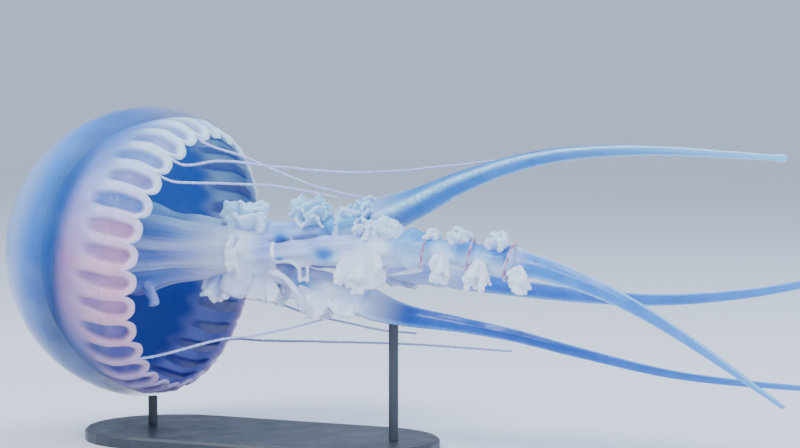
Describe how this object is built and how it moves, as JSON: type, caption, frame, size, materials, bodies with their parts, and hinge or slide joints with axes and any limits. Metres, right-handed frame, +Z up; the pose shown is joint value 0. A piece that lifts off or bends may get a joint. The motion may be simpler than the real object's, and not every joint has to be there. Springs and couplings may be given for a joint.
{
  "type": "jellyfish",
  "caption": "Life-size jellyfish swimming on its side: domed bell with a folded margin, frilled oral arms that end in long smooth clubs, fine tentacles and a display stand.",
  "frame": {"origin": "centre of the underside of the stand's base", "axes": "+X along the trailing arms, from the bell to their tips; -Y towards the side that is shown; +Z up"},
  "size_m": [0.7567, 0.2486, 0.2847],
  "materials": {
    "clear_jelly": "clear pale blue jelly, wet and smooth",
    "pink_muscle": "pinkish lavender muscle sheet, wet and folded",
    "white_frill": "milky white frilled flesh, wet",
    "blue_club": "clear bright blue jelly, wet and smooth",
    "lilac_thread": "pale lilac, wet",
    "stand_metal": "satin black paint"
  },
  "bodies": {
    "root": {"umbrella": "clear_jelly", "subumbrella": "pink_muscle", "margin_upper": "pink_muscle", "margin_near": "pink_muscle", "margin_lower": "pink_muscle", "margin_far": "pink_muscle", "manubrium": "white_frill", "oral_disc": "white_frill", "shoulder_upper": "white_frill", "shoulder_near": "white_frill", "shoulder_lower": "white_frill", "shoulder_far": "white_frill", "arm_upper": "white_frill", "arm_near_1": "white_frill", "arm_near_2": "white_frill", "arm_near_3": "white_frill", "arm_lower": "white_frill", "arm_far": "white_frill", "club_upper_root": "blue_club", "club_upper_middle": "blue_club", "club_upper_tip": "blue_club", "club_near_root": "blue_club", "club_near_middle": "blue_club", "club_near_tip": "blue_club", "club_lower_root": "blue_club", "club_lower_middle": "blue_club", "club_lower_tip": "blue_club", "club_far_root": "blue_club", "club_far_middle": "blue_club", "club_far_tip": "blue_club", "tentacle_1_root": "lilac_thread", "tentacle_1_end": "lilac_thread", "tentacle_2_root": "lilac_thread", "tentacle_2_end": "lilac_thread", "tentacle_3_root": "lilac_thread", "tentacle_3_end": "lilac_thread", "tentacle_4_root": "lilac_thread", "tentacle_4_end": "lilac_thread", "tentacle_5_root": "lilac_thread", "tentacle_5_end": "lilac_thread", "tentacle_6_root": "lilac_thread", "tentacle_6_end": "lilac_thread", "tentacle_7_root": "lilac_thread", "tentacle_7_end": "lilac_thread", "tentacle_8_root": "lilac_thread", "tentacle_8_end": "lilac_thread", "stand_base": "stand_metal", "stand_rod_bell": "stand_metal", "stand_rod_arms": "stand_metal"}
  },
  "joints": []
}
